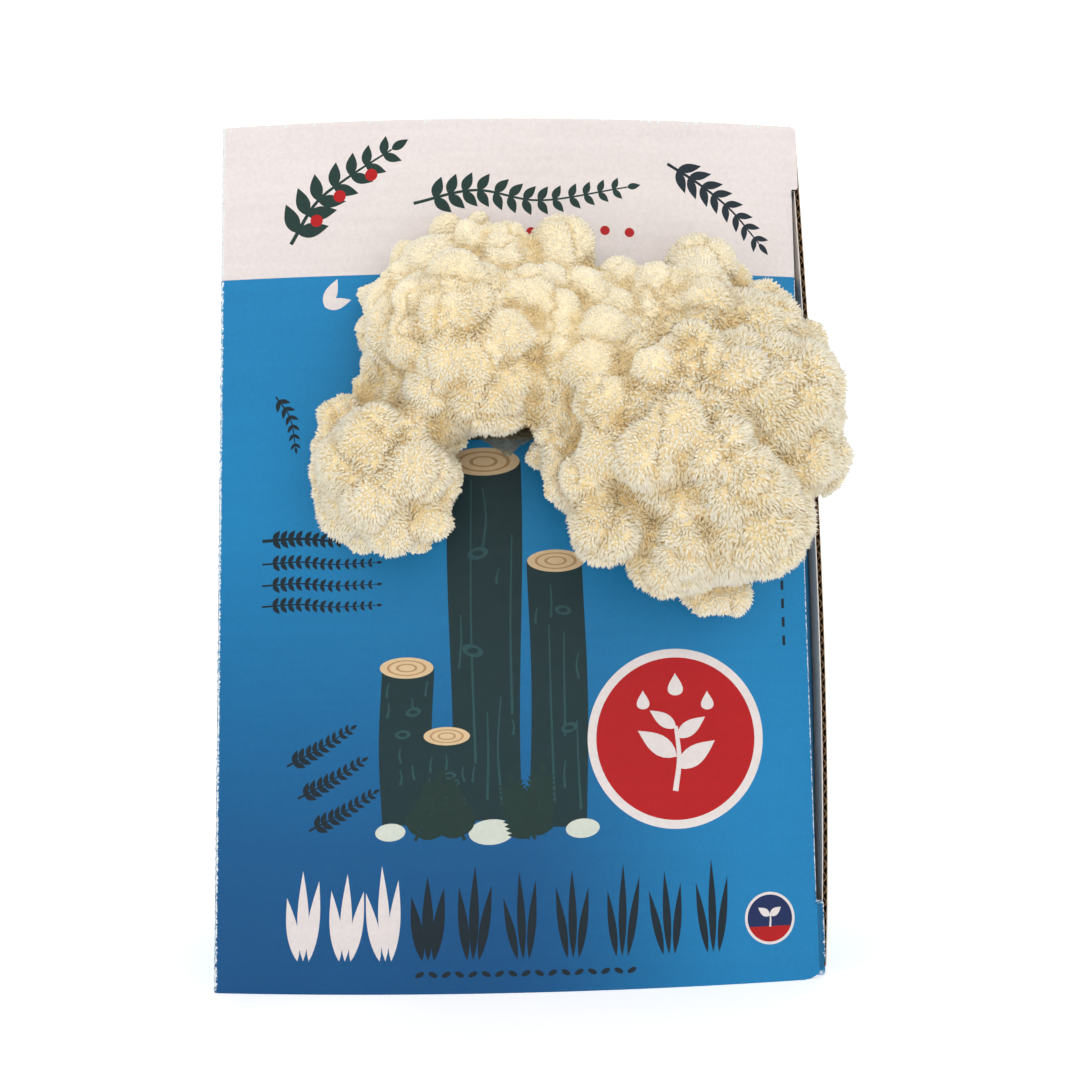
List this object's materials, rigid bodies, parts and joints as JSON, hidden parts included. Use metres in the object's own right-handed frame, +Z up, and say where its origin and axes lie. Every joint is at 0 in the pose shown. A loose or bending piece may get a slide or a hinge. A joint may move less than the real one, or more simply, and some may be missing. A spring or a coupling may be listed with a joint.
{
  "type": "lions mane mushroom grow kit",
  "caption": "Printed corrugated mailer carton standing on end, holding a bagged sawdust block with lumpy, shaggy mushroom heads grown out through a hole in its bulged front.",
  "frame": {"origin": "centre of the carton's bottom face, on the surface that the kit stands on", "axes": "+Z up along the carton's height, -Y out of the printed front that the mushroom grows through, +X towards the tuck side"},
  "size_m": [0.1674, 0.1742, 0.235],
  "materials": {
    "printed_board": "white-lined corrugated board printed blue with a white band at the top, satin",
    "printed_lid": null,
    "sawdust_block": "moist pressed sawdust bound by white mycelium, matte",
    "clear_film": "clear crinkled plastic film",
    "mushroom_flesh": "cream-white mushroom covered in soft hanging spines, tan in the creases, matte"
  },
  "bodies": {
    "root": {"carton_tray": "printed_board", "carton_lid": "printed_lid", "substrate_block": "sawdust_block", "grow_bag": "clear_film", "lions_mane": "mushroom_flesh"}
  },
  "joints": []
}
